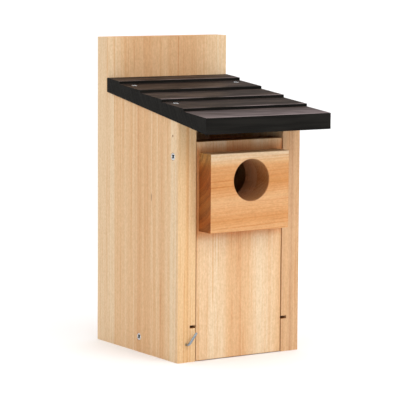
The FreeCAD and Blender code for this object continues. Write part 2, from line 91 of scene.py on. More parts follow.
def new_material(name):
    """Empty node material with a Principled surface: the material, its tree and the shader."""
    material = bpy.data.materials.new(name)
    material.use_nodes = True
    tree = material.node_tree
    tree.nodes.clear()
    shader = node(tree, "ShaderNodeBsdfPrincipled")
    node(tree, "ShaderNodeOutputMaterial", {"Surface": shader})
    return material, tree, shader


def set_ramp(ramp, stops):
    """Give a colour ramp its stops: pairs of position from 0 to 1 and a colour."""
    elements = ramp.color_ramp.elements
    while len(elements) < len(stops):
        elements.new(0.5)
    for element, (position, colour) in zip(elements, stops):
        element.position = position
        element.color = rgba(colour)


def paint(name, material):
    """Put one material on every slot of a carried-over node."""
    board = frame["nodes"][name]
    board.data.materials.clear()
    board.data.materials.append(material)


def surface(name, vertices, faces, material, body, stands_for):
    """Finished piece at the origin from arrays: shaded smooth, riding on its body."""
    mesh = bpy.data.meshes.new(name)
    mesh.from_pydata(vertices.tolist(), [], faces.tolist())
    mesh.polygons.foreach_set("use_smooth", np.ones(len(mesh.polygons), bool))
    mesh.materials.append(material)
    mesh.update()
    piece = bpy.data.objects.new(name, mesh)
    bpy.context.scene.collection.objects.link(piece)
    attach(piece, body)
    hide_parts(stands_for)
    return piece


# Cedar: each board is cut from its own place in the log

# Boards as (across the face, through the thickness, along the grain), each a direction in the
# frame. The guard's grain runs 2 degrees off level.
UPRIGHT_FRONT = ((1, 0, 0), (0, 1, 0), (0, 0, 1))
UPRIGHT_SIDE = ((0, -1, 0), (1, 0, 0), (0, 0, 1))
LEVEL_FRONT = ((0.035, 0, -1), (0, 1, 0), (1, 0, 0.035))
LEVEL_FLAT = ((1, 0, 0), (0, 0, -1), (0, 1, 0))
LEVEL_ROOF = ((0, 1, 0), (0, 0, 1), (1, 0, 0))


def turned_to_grain(tree, axes, pith):
    """Texture coordinates, and the place that they give in millimetres with the pith line as its
    third axis."""
    where = node(tree, "ShaderNodeTexCoord")
    return where, node(tree, "ShaderNodeMapping", {
        "Vector": where.outputs["Object"],
        "Location": (-pith[0], -pith[1], pith[2]),
        "Rotation": Matrix(axes).to_euler(),
        "Scale": TO_MM,
    })


def inverse(sizes):
    """1 over each size, and 0 for a size of 0, which stands for endless."""
    return [1 / size if size else 0 for size in sizes]


def stretched_noise(tree, place, width, length, detail=3.0):
    """Noise in lumps of a given width across the grain and length along it, both in millimetres."""
    squeezed = node(tree, "ShaderNodeVectorMath", {0: place, 1: inverse((width, width, length))},
                    operation="MULTIPLY")
    return node(tree, "ShaderNodeTexNoise", {
        "Vector": squeezed, "Scale": 1.0, "Detail": detail, "Roughness": 0.55,
    })


def slanted_noise(tree, where, turn, lumps, detail):
    """Noise turned from the frame's axes by three angles, in lumps of a size in millimetres on
    each turned axis."""
    turned = node(tree, "ShaderNodeMapping", {
        "Vector": where.outputs["Object"], "Scale": TO_MM, "Rotation": turn,
    })
    squeezed = node(tree, "ShaderNodeVectorMath", {0: turned, 1: inverse(lumps)},
                    operation="MULTIPLY")
    return node(tree, "ShaderNodeTexNoise", {"Vector": squeezed, "Scale": 1.0, "Detail": detail})


def spread(tree, value, low, high, to_low=0.0, to_high=1.0, smooth=False):
    """Map low..high to another range, held at its ends."""
    return node(tree, "ShaderNodeMapRange", {
        "Value": value, "From Min": low, "From Max": high, "To Min": to_low, "To Max": to_high,
    }, interpolation_type="SMOOTHSTEP" if smooth else "LINEAR")


def mixed(tree, share, first, second, blend="MIX"):
    """Colour between two others."""
    made = node(tree, "ShaderNodeMix", {"Factor": share, 6: first, 7: second}, data_type="RGBA",
                blend_type=blend)
    return made.outputs[2]


def rings(tree, place, spacing, drift_share=1.0):
    """0 in early wood to 1 in the narrow late wood of each year's ring round the pith, and the
    count of years. spacing is one year's growth in millimetres, and drift_share how far the rings
    stray from circles, where 1 is up to 8 mm."""
    drift = stretched_noise(tree, place, 35.0, 400.0, 2.0)
    centred = node(tree, "ShaderNodeVectorMath", {0: drift.outputs["Color"], 1: (0.5, 0.5, 0.5)},
                   operation="SUBTRACT")
    shift = node(tree, "ShaderNodeVectorMath", {0: centred, "Scale": 16.0 * drift_share},
                 operation="SCALE")
    moved = node(tree, "ShaderNodeVectorMath", {0: place, 1: shift}, operation="ADD")
    flat = node(tree, "ShaderNodeVectorMath", {0: moved, 1: (1, 1, 0)}, operation="MULTIPLY")
    radius = node(tree, "ShaderNodeVectorMath", {0: flat}, operation="LENGTH")
    years = node(tree, "ShaderNodeMath", {0: radius.outputs["Value"], 1: spacing},
                 operation="DIVIDE")
    uneven = node(tree, "ShaderNodeTexNoise", {"W": years, "Scale": 0.35, "Detail": 1.0},
                  noise_dimensions="1D")
    counted = node(tree, "ShaderNodeMath", {0: uneven.outputs[0], 1: 2.2, 2: years},
                   operation="MULTIPLY_ADD")
    part = node(tree, "ShaderNodeMath", {0: counted}, operation="FRACT")
    shape = node(tree, "ShaderNodeValToRGB", {"Fac": part})
    set_ramp(shape, [(0.0, (0.0,) * 3), (0.5, (0.12,) * 3), (0.88, (1.0,) * 3), (1.0, (0.0,) * 3)])
    return shape, years


def facing(tree, where, axis, low, high):
    """1 where the surface looks along an axis, either way, 0 where it lies along it."""
    along = node(tree, "ShaderNodeVectorMath", {0: where.outputs["Normal"], 1: axis},
                 operation="DOT_PRODUCT")
    size = node(tree, "ShaderNodeMath", {0: along.outputs["Value"]}, operation="ABSOLUTE")
    return spread(tree, size, low, high, smooth=True)


def near_line(tree, where, middle, across, reach, soft):
    """1 near a line or a plane through a point, 0 beyond reach; across is a size on each axis of
    the frame, 0 on each axis that the line or plane lies along."""
    offset = node(tree, "ShaderNodeVectorMath", {0: where.outputs["Object"], 1: middle},
                  operation="SUBTRACT")
    flat = node(tree, "ShaderNodeVectorMath", {0: offset, 1: inverse(across)},
                operation="MULTIPLY")
    far = node(tree, "ShaderNodeVectorMath", {0: flat}, operation="LENGTH")
    return spread(tree, far.outputs["Value"], reach, reach + soft, 1.0, 0.0, smooth=True)


def board_ramp(tree, place, wander, sway, span, shades, tones):
    """Colour bands across a board, over span in millimetres. shades are pairs of position and
    shade, where shade 0 is the first tone, 0.5 the second and 1 the third. wander moves the bands
    by up to half of sway, in millimetres."""
    swayed = node(tree, "ShaderNodeMath", {0: wander, 1: sway, 2: place}, operation="MULTIPLY_ADD")
    share = spread(tree, swayed, span[0] + sway / 2, span[1] + sway / 2)
    ramp = node(tree, "ShaderNodeValToRGB", {"Fac": share})
    stops = [(at, [float(np.interp(shade, (0, 0.5, 1), channel)) for channel in zip(*tones)])
             for at, shade in shades]
    set_ramp(ramp, stops)
    return ramp.outputs[0]


# Tints laid over the wood, as stops from the low to the high end of each pattern.
LINE_TINTS = [(0.33, (0.965, 0.875, 0.79)), (0.5, (1, 1, 1)), (0.67, (1.02, 1.07, 1.13))]
FIBRE_TINTS = [(0.3, (0.95, 0.92, 0.88)), (0.7, (1.04, 1.06, 1.08))]
PORE_TINTS = [(0.3, (0.93, 0.92, 0.88)), (0.7, (1.07, 1.08, 1.12))]
MARK_TINT = (0.34, 0.19, 0.12)


def cedar(name, axes, pith, corners, face, edge, tones, late, cut, spacing, ring_share=0.3,
          drift=0.5, contrast=0.7, edge_tones=None, bored=None, band=None, marks=()):
    """Planed western red cedar: pale straight grain in pinkish brown and straw bands, matt, with
    fine darker late wood lines, and dark saturated end grain. corners is the board's box; face and
    edge are the bands over its face and over its narrow edges, each shade picked from tones or
    edge_tones. late is the late wood's tint and cut the end grain's, and spacing is one year's
    growth in millimetres. bored is the middle, the radius and the tint of the entrance. band is
    the middle, half the height, the fade and the tint of a level band: other wood on the guard,
    painted shade on the door. marks are pin knots and resin flecks as (middle, size). ring_share
    is how strong rings are on side wood, contrast how strong lines and veins are, and drift how
    far rings and bands stray."""
    material, tree, shader = new_material(name)
    where, place = turned_to_grain(tree, axes, pith)
    wander = stretched_noise(tree, place, 22.0, 300.0, 2.0)
    stripe = stretched_noise(tree, place, 1.7, 260.0, 4.0)
    vein = stretched_noise(tree, place, 1.8, 160.0, 2.0)
    fibre = stretched_noise(tree, place, 1.1, 9.0, 4.0)
    # Pores are really 0.1 mm across, and drawn at 1.4 mm so that they show.
    pores = stretched_noise(tree, place, 1.4, 2.4, 2.0)
    ring, years = rings(tree, place, spacing, drift)

    low, high = ((np.array(axes) @ np.array(corner)) / MM for corner in corners)
    low, high = np.minimum(low, high), np.maximum(low, high)
    split = node(tree, "ShaderNodeSeparateXYZ", {0: place})
    base = board_ramp(tree, split.outputs[0], wander, 12.0 * drift,
                      (low[0] - pith[0], high[0] - pith[0]), face, tones)
    rim = board_ramp(tree, split.outputs[1], wander, 3.0 * drift,
                     (low[1] - pith[1], high[1] - pith[1]), edge, edge_tones or tones)
    base = mixed(tree, facing(tree, where, axes[0], 0.7, 0.8), base, rim)

    # A band multiplies the wood by its tint: other wood on the guard, painted shade on the door
    # beside the guard.
    if band:
        middle, half_height, fade, tint = band
        inside = near_line(tree, where, middle, (0, 0, half_height), 1.0, fade / half_height)
        base = mixed(tree, inside, base, rgba(tint), "MULTIPLY")

    # Rings show more on end grain, where they are cut square.
    ends = facing(tree, where, axes[2], 0.35, 0.95)
    strength = node(tree, "ShaderNodeMath", {0: ends, 1: 0.45, 2: ring_share},
                    operation="MULTIPLY_ADD")
    strength = node(tree, "ShaderNodeMath", {0: ring, 1: strength}, operation="MULTIPLY")
    colour = mixed(tree, strength, base, rgba(late), "MULTIPLY")
    veined = spread(tree, vein, 0.58, 0.68, 0.0, contrast, smooth=True)
    colour = mixed(tree, veined, colour, rgba(late), "MULTIPLY")
    # Pores count twice on end grain, where they are open.
    for pattern, tints, share in ((stripe, LINE_TINTS, contrast), (fibre, FIBRE_TINTS, 1.0),
                                  (pores, PORE_TINTS, 1.0), (pores, PORE_TINTS, ends)):
        tinted = node(tree, "ShaderNodeValToRGB", {"Fac": pattern})
        set_ramp(tinted, tints)
        colour = mixed(tree, share, colour, tinted.outputs[0], "MULTIPLY")
    # End grain is darker or lighter over spells of years.
    spell = node(tree, "ShaderNodeTexNoise", {"W": years, "Scale": 0.3, "Detail": 2.0},
                 noise_dimensions="1D")
    blotched = mixed(tree, spread(tree, spell, 0.38, 0.62), rgba([c * 0.85 for c in cut]),
                     rgba([c * 1.25 for c in cut]))
    cut_wood = mixed(tree, 1.0, colour, blotched, "MULTIPLY")
    # The band's tint, painted shade on the door, darkens the end grain inside it too.
    if band:
        cut_wood = mixed(tree, inside, cut_wood, rgba(tint), "MULTIPLY")
    sawn = mixed(tree, ends, colour, cut_wood)
    if bored:
        # A bore shows side wood and end grain by turns round its wall.
        middle, radius, wall_tint = bored
        wall = near_line(tree, where, middle, (radius, 0, radius), 1.0, 0.03)
        side_wood = mixed(tree, 1.0, colour, rgba(wall_tint), "MULTIPLY")
        sawn = mixed(tree, wall, sawn, mixed(tree, 0.3, side_wood, cut_wood))
    colour = sawn
    for middle, size in marks:
        spot = near_line(tree, where, middle, size, 0.5, 0.6)
        colour = mixed(tree, spot, colour, rgba(MARK_TINT), "MULTIPLY")

    rough = spread(tree, fibre, 0.0, 1.0, 0.56, 0.74)
    relief = node(tree, "ShaderNodeMath", {0: ring, 1: -0.5, 2: fibre}, operation="MULTIPLY_ADD")
    bump = node(tree, "ShaderNodeBump", {"Height": relief, "Strength": 0.3, "Distance": 0.12 * MM})
    tree.links.new(colour, shader.inputs["Base Color"])
    tree.links.new(rough.outputs[0], shader.inputs["Roughness"])
    tree.links.new(bump.outputs[0], shader.inputs["Normal"])
    shader.inputs["IOR"].default_value = 1.5
    shader.inputs["Specular IOR Level"].default_value = 0.3
    return material


class BoardSettings(bpy.types.PropertyGroup):
    heartwood: FloatVectorProperty(name="Heartwood", description="Pinkish brown of the inner log",
                                   subtype="COLOR", size=3, default=linear("#D1A477"))
    middle: FloatVectorProperty(name="Middle wood", description="Straw brown between the two",
                                subtype="COLOR", size=3, default=linear("#DAB58A"))
    pale: FloatVectorProperty(name="Pale sapwood", description="Outermost wood of the door board",
                              subtype="COLOR", size=3, default=linear("#DFC6A4"))
    sapwood: FloatVectorProperty(name="Sapwood", description="Pale wood under the bark",
                                 subtype="COLOR", size=3, default=linear("#E0C7A4"))
    honey: FloatVectorProperty(name="Edge wood", description="Warm yellow of the narrow edges",
                               subtype="COLOR", size=3, default=linear("#DCB684"))
    russet: FloatVectorProperty(name="Russet wood", description="Right panel's front edge",
                                subtype="COLOR", size=3, default=linear("#C49B74"))
    amber: FloatVectorProperty(name="Amber wood", description="Orange streaks of the guard block",
                               subtype="COLOR", size=3, default=linear("#C4874C"))
    ochre: FloatVectorProperty(name="Ochre wood", description="Most of the guard block",
                               subtype="COLOR", size=3, default=linear("#CF9A65"))
    pale_ochre: FloatVectorProperty(name="Pale ochre wood", description="Guard's top and sides",
                                    subtype="COLOR", size=3, default=linear("#D3AC82"))
    late_wood: FloatVectorProperty(name="Late wood", description="Tint of a ring's dark part",
                                   subtype="COLOR", size=3, default=(0.88, 0.67, 0.47))
    end_grain: FloatVectorProperty(name="End grain", description="Tint where fibres are cut across",
                                   subtype="COLOR", size=3, default=(0.46, 0.27, 0.105))
    dry_end: FloatVectorProperty(name="Dry end grain", description="Tint of weathered cut ends",
                                 subtype="COLOR", size=3, default=(0.86, 0.76, 0.64))
    bored: FloatVectorProperty(name="Bored guard", description="Tint of the guard's bore",
                               subtype="COLOR", size=3, default=(0.8, 0.8, 0.86))
    bored_door: FloatVectorProperty(name="Bored door", description="Tint of the door's bore",
                                    subtype="COLOR", size=3, default=(1.15, 1.5, 2.2))
    outer: FloatVectorProperty(name="Outer wood", description="Tint of the guard's pale top band",
                               subtype="COLOR", size=3, default=(1.1, 1.3, 1.55))
    # Painted shade on the door just above and below the guard.
    painted_guard_shade: FloatVectorProperty(name="Unbleached wood", description="Tint beside the guard",
                                    subtype="COLOR", size=3, default=(0.78, 0.51, 0.32))
    ring_spacing: FloatProperty(name="Ring spacing", description="One year's growth",
                                default=2.4 * MM, min=0.5 * MM, max=12.0 * MM, unit="LENGTH",
                                subtype="DISTANCE")
    hole_drop: FloatProperty(name="Hole drop", description="Hole's middle under the door's top",
                             default=37.0 * MM, unit="LENGTH", subtype="DISTANCE")
    bore: FloatProperty(name="Bore", description="Radius inside which wood is finished as bored",
                        default=20.2 * MM, unit="LENGTH", subtype="DISTANCE")


class NESTBOX_OT_boards(bpy.types.Operator):
    """Give each cedar board its grain, bands and end grain"""
    bl_idname = "nestbox.boards"
    bl_label = "Cedar boards"

    def execute(self, context):
        s = context.scene.nestbox_boards
        tones = (s.heartwood, s.middle, s.sapwood)
        warm = (s.amber, s.honey, s.sapwood)
        orange = (s.amber, s.ochre, s.pale_ochre)
        common = {"tones": tones, "late": s.late_wood, "cut": s.end_grain,
                  "spacing": s.ring_spacing / MM}
        opening = Vector((0, 0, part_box("front_door")[1].z - s.hole_drop))
        low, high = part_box("predator_guard")
        # Painted shade: a darker warm band on the door at the guard's height, where the guard
        # shades it.
        shaded = ((low + high) / 2, (high.z - low.z) / 2, 12 * MM, s.painted_guard_shade)
        pale_top = (high, 4 * MM, 14 * MM, s.outer)
        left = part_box("left_side_panel")[0].x
        knot = ((left, -41.0 * MM, 216.6 * MM), (0, 1.1 * MM, 1.5 * MM))
        resin = ((left, -2.7 * MM, 154.8 * MM), (0, 0.6 * MM, 5.0 * MM))
        even = [(0.0, 0.45), (1.0, 0.6)]

        def board(node_name, title, axes, pith, face, edge=even, **own):
            """Pith in millimetres, and bands over face and edge as (share of the width, shade)."""
            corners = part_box(node_name)
            paint(node_name, cedar("western red cedar, " + title, axes, pith, corners, face, edge,
                                   **{**common, **own}))

        board("left_side_panel", "left side", UPRIGHT_SIDE, (30.0, -190.0, 0.0), [
            (0.0, 0.85), (0.09, 1.0), (0.12, 0.5), (0.285, 0.68), (0.33, 0.4), (0.373, 0.7),
            (0.46, 0.15), (0.52, 0.45), (0.592, 0.2), (0.635, 0.75), (0.68, 0.5), (0.723, 0.7),
            (0.766, 0.2), (0.81, 0.45), (0.854, 0.7), (0.88, 0.5), (0.905, 1.0), (0.965, 0.95),
            (0.985, 0.6)],
            [(0.0, 0.6), (0.35, 0.7), (0.46, 0.5), (0.55, 0.28), (0.62, 0.7), (1.0, 0.62)],
            edge_tones=warm, drift=0.12, marks=(knot, resin))
        board("right_side_panel", "right side", UPRIGHT_SIDE, (-20.0, 210.0, 400.0), [
            (0.0, 0.5), (0.25, 0.1), (0.55, 0.5), (0.8, 0.9), (1.0, 0.5)],
            [(0.0, 0.1), (0.3, 0.3), (0.55, 0.0), (0.75, 0.25), (1.0, 0.1)], drift=0.3,
            edge_tones=(s.russet, s.middle, s.sapwood))
        board("back_panel", "back board", UPRIGHT_FRONT, (-10.0, 260.0, 900.0), [
            (0.0, 0.9), (0.06, 0.85), (0.12, 0.45), (0.2, 0.25), (0.4, 0.2), (0.47, 0.5),
            (0.55, 0.15), (0.7, 0.15), (0.86, 0.6), (0.92, 0.95), (1.0, 0.95)],
            [(0.0, 0.8), (1.0, 1.0)], drift=0.3, cut=s.dry_end)
        board("front_door", "door", UPRIGHT_FRONT, (5.0, 150.0, 1500.0), [
            (0.0, 0.6), (0.1, 0.75), (0.16, 1.0), (0.3, 1.0), (0.37, 0.45), (0.42, 0.2),
            (0.52, 0.15), (0.6, 0.4), (0.7, 0.9), (0.76, 1.2), (0.82, 0.9), (1.0, 0.45)], drift=0.4,
            tones=(s.heartwood, s.middle, s.pale), bored=(opening, s.bore, s.bored_door),
            band=shaded)
        board("predator_guard", "guard block", LEVEL_FRONT, (-232.0, -10.0, 2100.0), [
            (0.0, 1.0), (0.06, 0.9), (0.14, 0.5), (0.25, 0.3), (0.4, 0.0), (0.46, 0.35), (0.6, 0.7),
            (0.72, 0.6), (0.85, 0.15), (0.93, 0.5), (1.0, 0.6)],
            tones=orange, drift=0.8, ring_share=0.4, contrast=0.55,
            bored=(opening, s.bore, s.bored), band=pale_top)
        board("floor_panel", "floor board", LEVEL_FLAT, (20.0, 140.0, 2700.0), [
            (0.0, 0.9), (0.3, 0.5), (0.6, 0.1), (1.0, 0.5)])
        return {"FINISHED"}


# Roof

SCUFF_SLANT = math.radians(14)
SAW_SLANT = math.radians(28)


def stained_cedar(name, top, cut, worn, wear_and_painted_light, front, course):
    """Cedar under a black-brown penetrating stain: nearly black on sawn ends and risers, browner
    on the planed tops, where a thin dried film shines at a low angle and the grain still shows as
    fine streaks. Courses begin at front and every course length behind it."""
    material, tree, shader = new_material(name)
    where, place = turned_to_grain(tree, LEVEL_ROOF, (0.0, -120.0, 3300.0))
    # Grain streaks are really 1 mm wide, and drawn at 3 mm so that they show at a low angle.
    streak = stretched_noise(tree, place, 3.0, 60.0, 4.0)
    patch = stretched_noise(tree, place, 14.0, 60.0, 3.0)
    fibre = stretched_noise(tree, place, 1.2, 24.0, 4.0)
    ring, _ = rings(tree, place, 2.6)
    lit = spread(tree, streak, 0.42, 0.64)
    patchy = spread(tree, patch, 0.35, 0.65)
    show = node(tree, "ShaderNodeMath", {0: lit, 1: patchy}, operation="MULTIPLY")
    brown = mixed(tree, show, rgba(top), rgba(worn))

    # Wear and painted light: slanted scuffs on the front course under a painted sheen, both
    # strongest at its front edge, and front edges of every course worn thin, partly a painted
    # highlight.
    scuff = slanted_noise(tree, where, (0, 0, SCUFF_SLANT), (45.0, 2.6, 0.0), 3.0)
    scuff = spread(tree, scuff, 0.42, 0.64, 0.15, 0.95)
    split = node(tree, "ShaderNodeSeparateXYZ", {0: where.outputs["Object"]})
    end = front + course * 0.95
    fading = spread(tree, split.outputs[1], front, end, 1.0, 0.25)
    stopping = spread(tree, split.outputs[1], end, front + course, 1.0, 0.0)
    first_course = node(tree, "ShaderNodeMath", {0: fading, 1: stopping}, operation="MULTIPLY")
    # Painted sheen: lightens the whole front course, fading towards its back, with the scuffs on
    # top.
    scuffed_and_sheen = node(tree, "ShaderNodeMath", {0: scuff, 1: first_course}, operation="MULTIPLY")
    brown = mixed(tree, scuffed_and_sheen, brown, rgba(wear_and_painted_light))
    behind = node(tree, "ShaderNodeMath", {0: split.outputs[1], 1: -front}, operation="ADD")
    counted = node(tree, "ShaderNodeMath", {0: behind, 1: course}, operation="DIVIDE")
    part = node(tree, "ShaderNodeMath", {0: counted}, operation="FRACT")
    # The worn edge, partly wear and partly a painted highlight, is really 1 mm wide, and drawn at 5
    # mm so that it shows.
    near_edge = spread(tree, part, 0.0, 5.0 * MM / course, 1.0, 0.0, smooth=True)
    rubbed_and_highlit = node(tree, "ShaderNodeMath", {0: spread(tree, patch, 0.42, 0.62), 1: near_edge},
                  operation="MULTIPLY")
    brown = mixed(tree, rubbed_and_highlit, brown, rgba(wear_and_painted_light))

    # Saw marks are really 1 mm apart, and drawn at 2 mm so that they show.
    saw = slanted_noise(tree, where, (SAW_SLANT, 0, 0), (60.0, 2.0, 22.0), 2.0)
    dark = mixed(tree, ring, rgba(cut), rgba([c * 1.5 for c in cut]))
    dark = mixed(tree, spread(tree, saw, 0.4, 0.62), dark, rgba([c * 2.0 for c in cut]))
    upward = facing(tree, where, (0, 0, 1), 0.3, 0.9)
    colour = mixed(tree, upward, dark, brown)
    rough = spread(tree, fibre, 0.3, 0.7, 0.4, 0.6)
    bump = node(tree, "ShaderNodeBump", {"Height": streak, "Strength": 0.4, "Distance": 0.15 * MM})
    tree.links.new(colour, shader.inputs["Base Color"])
    tree.links.new(rough.outputs[0], shader.inputs["Roughness"])
    tree.links.new(bump.outputs[0], shader.inputs["Normal"])
    shader.inputs["IOR"].default_value = 1.5
    # A penetrating stain leaves little film, so it reflects less head on than a varnish does.
    shader.inputs["Specular IOR Level"].default_value = 0.05
    return material


class RoofSettings(bpy.types.PropertyGroup):
    stain: FloatVectorProperty(name="Stain", description="Stain on the planed tops",
                               subtype="COLOR", size=3, default=linear("#1F1714"))
    sawn: FloatVectorProperty(name="Sawn faces", description="Stain where it soaked in deepest",
                              subtype="COLOR", size=3, default=linear("#12110F"))
    worn: FloatVectorProperty(name="Thin stain", description="Stain over hard late wood",
                              subtype="COLOR", size=3, default=linear("#54453C"))
    # Worn stain, which also paints the sheen on the front course and the highlight on each course's
    # front edge.
    wear_and_painted_light: FloatVectorProperty(name="Rubbed stain", description="Stain rubbed thin on edges",
                              subtype="COLOR", size=3, default=linear("#87797A"))
    course: FloatProperty(name="Course", description="Front edge to front edge", default=39.0 * MM,
                          unit="LENGTH", subtype="DISTANCE")


class NESTBOX_OT_roof(bpy.types.Operator):
    """Stain the lapped roof board"""
    bl_idname = "nestbox.roof"
    bl_label = "Stained roof"

    def execute(self, context):
        s = context.scene.nestbox_roof
        paint("roof", stained_cedar("black-stained cedar", s.stain, s.sawn, s.worn, s.wear_and_painted_light,
                                    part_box("roof")[0].y, s.course))
        return {"FINISHED"}


# Metal

def zinc_steel(name, colour, roughness, mottle, scale):
    """Zinc-plated steel: grey metal with a soft gloss and faint cloudy patches where the plating
    is thicker. The patches are scale millimetres wide, and their colour is mottle times the rest.
    Painted shade, where a piece has it, darkens recesses nearly to black."""
    material, tree, shader = new_material(name)
    where = node(tree, "ShaderNodeTexCoord")
    cloud = node(tree, "ShaderNodeTexNoise", {
        "Vector": where.outputs["Object"], "Scale": 1 / (scale * MM), "Detail": 4.0,
    })
    tone = mixed(tree, cloud, rgba(colour), rgba([c * mottle for c in colour]))
    # Painted shade: a point attribute darkens the recesses nearly to black.
    painted_recess_shade = node(tree, "ShaderNodeAttribute", attribute_name="painted_recess_shade")
    tone = mixed(tree, painted_recess_shade.outputs["Fac"], tone, rgba([c * 0.02 for c in colour]))
    rough = spread(tree, cloud, 0.0, 1.0, roughness - 0.06, roughness + 0.08)
    tree.links.new(tone, shader.inputs["Base Color"])
    tree.links.new(rough.outputs[0], shader.inputs["Roughness"])
    shader.inputs["Metallic"].default_value = 1.0
    return material


def tube_faces(rows, sides):
    """Triangles of a tube of rings of points, closed by a fan at each end. The fans' middles are
    the two points after the rings'. Faces look outwards where the rings turn right-handed about
    the way along the tube."""
    ring = np.arange(rows - 1)[:, None] * sides
    here = np.arange(sides)
    after = (here + 1) % sides
    corners = (ring + here, ring + after, ring + sides + after, ring + sides + here)
    quads = np.stack([corner.ravel() for corner in corners], 1)
    start = np.full(sides, rows * sides)
    last = (rows - 1) * sides
    return np.concatenate([
        quads[:, [0, 1, 2]], quads[:, [0, 2, 3]],
        np.stack([start, after, here], 1),
        np.stack([start + 1, last + here, last + after], 1)])


class ScrewSettings(bpy.types.PropertyGroup):
    head: FloatProperty(name="Head", description="Head diameter", default=7.0 * MM,
                        unit="LENGTH", subtype="DISTANCE")
    shank: FloatProperty(name="Shank", description="Diameter over the thread", default=3.5 * MM,
                         unit="LENGTH", subtype="DISTANCE")
    core: FloatProperty(name="Core", description="Diameter under the thread", default=2.5 * MM,
                        unit="LENGTH", subtype="DISTANCE")
    pitch: FloatProperty(name="Pitch", description="Thread to thread", default=1.7 * MM,
                         unit="LENGTH", subtype="DISTANCE")
    recess: FloatProperty(name="Recess", description="Cross recess, tip to tip", default=5.0 * MM,
                          unit="LENGTH", subtype="DISTANCE")
    arm: FloatProperty(name="Recess arm", description="Width of one arm", default=1.7 * MM,
                       unit="LENGTH", subtype="DISTANCE")
    recess_depth: FloatProperty(name="Recess depth", description="At the middle", default=1.8 * MM,
                                unit="LENGTH", subtype="DISTANCE")
    dome: FloatProperty(name="Dome", description="Crown of the head", default=0.22 * MM,
                        unit="LENGTH", subtype="DISTANCE")
    zinc: FloatVectorProperty(name="Zinc", description="Plating colour", subtype="COLOR", size=3,
                              default=linear("#D6D8D9"))


def screw_surface(s, head, point):
    """Wood screw from the middle of its head to its point, as one surface of depth and turn, and
    the share of painted shade in the recess at each point. The head is a low dome, sunk by the
    recess depth inside a cross, by a smooth step of the distance to the nearer arm that fades
    towards the arms' tips.
    Then comes a rounded lip, and a cone to the shank. The shank's radius is the core plus a ridge
    that reaches the thread's, where the ridge is the fourth power of a cosine of turn minus depth
    over pitch. The last stretch shrinks to the point."""
    lip, soft_edge = 0.2 * MM, 0.12 * MM
    point_length, run_out = 4 * MM, 3 * MM
    length = (point - head).length
    sides = 48
    turn = np.linspace(0, 2 * math.pi, sides, endpoint=False)
    face = (np.linspace(0, 1, 22) ** 0.8 * (s.head / 2 - 0.15 * MM))[1:]
    cone_height = (s.head - s.shank) / 2
    cone = np.linspace(0, 1, 6)[1:]
    steps = int((length - cone_height) / (s.pitch / 7))
    shaft = np.linspace(cone_height, length - 0.02 * MM, steps)[1:]
    radius = np.concatenate([
        face, [s.head / 2 - 0.04 * MM, s.head / 2],
        s.head / 2 + (s.shank / 2 - s.head / 2) * cone, np.full(len(shaft), s.shank / 2)])
    depth = np.concatenate([
        np.zeros(len(face)), [0.05 * MM, lip], lip + (cone_height - lip) * cone, shaft])
    radius, depth = radius[:, None] * np.ones(sides), depth[:, None] * np.ones(sides)

    x, y = radius * np.cos(turn), radius * np.sin(turn)
    nearer = np.minimum(abs(x), abs(y))
    farther = np.maximum(abs(x), abs(y))
    inside = np.clip((s.arm / 2 + soft_edge - nearer) / (2 * soft_edge), 0, 1)
    taper = np.clip((s.recess / 2 - farther) / (s.recess / 2 - s.arm / 2), 0, 1)
    hollow = inside * inside * (3 - 2 * inside) * taper ** 0.35
    on_face = np.arange(len(radius)) < len(face)
    hollow[~on_face] = 0
    dome = s.dome * (1 - np.minimum(radius / (s.head / 2), 1) ** 2)
    depth += s.recess_depth * hollow - dome * on_face[:, None]

    along = shaft[:, None]
    phase = turn[None, :] - 2 * math.pi * along / s.pitch
    ridge = ((1 + np.cos(phase)) / 2) ** 4
    to_point = np.clip((length - along) / point_length, 0, 1)
    fade_in = np.clip((along - cone_height) / run_out, 0, 1)
    core = s.core / 2 * fade_in + s.shank / 2 * (1 - fade_in)
    radius[-len(shaft):] = (core + (s.shank / 2 - core) * ridge) * to_point + 0.01 * MM

    axis = (point - head).normalized()
    side = axis.orthogonal().normalized()
    other = axis.cross(side)
    a, b, c = (np.array(v) for v in (axis, side, other))
    body = (np.array(head) + depth[..., None] * a + (radius * np.cos(turn))[..., None] * b
            + (radius * np.sin(turn))[..., None] * c)
    middle = np.array(head) + a * (s.recess_depth - s.dome)
    end = np.array(head) + a * length
    vertices = np.concatenate([body.reshape(-1, 3), [middle], [end]])
    # Painted shade in the cross recess and at its middle point, none at the screw's point.
    shade = np.concatenate([np.minimum(hollow * 2.5, 1).ravel(), [1.0, 0.0]])
    return vertices, tube_faces(len(body), sides), shade


def screw_ends(name, axis, way):
    """Middle of the head and the point of each screw in a node. Its solids are runs of points with
    wide gaps between them along the two directions square to the axis. The point lies furthest
    along the axis, and the head's rim furthest from the point."""
    gap = 8 * MM
    mesh = frame["nodes"][name].data
    spots = np.zeros(len(mesh.vertices) * 3, np.float32)
    mesh.vertices.foreach_get("co", spots)
    groups = [spots.reshape(-1, 3)]
    for other in {0, 1, 2} - {axis}:
        split = []
        for group in groups:
            ordered = group[np.argsort(group[:, other])]
            cuts = np.nonzero(np.diff(ordered[:, other]) > gap)[0] + 1
            split.extend(np.split(ordered, cuts))
        groups = split
    for group in groups:
        point = group[np.argmax(way * group[:, axis])]
        away = np.linalg.norm(group - point, axis=1)
        rim = group[away > away.max() - 0.02 * MM]
        yield Vector((rim.min(0) + rim.max(0)) / 2), Vector(point)


# Screw nodes: body, the axis the screws lie along, and the way they point.
SCREWS = {
    "left_pivot_screw": ("box", 0, 1), "right_pivot_screw": ("box", 0, -1),
    "left_floor_screw": ("box", 0, 1), "right_floor_screw": ("box", 0, -1),
    "left_back_screws": ("box", 1, -1), "right_back_screws": ("box", 1, -1),
    "left_roof_screws": ("box", 2, -1), "right_rear_roof_screw": ("box", 2, -1),
    "guard_screws": ("door", 1, -1),
}


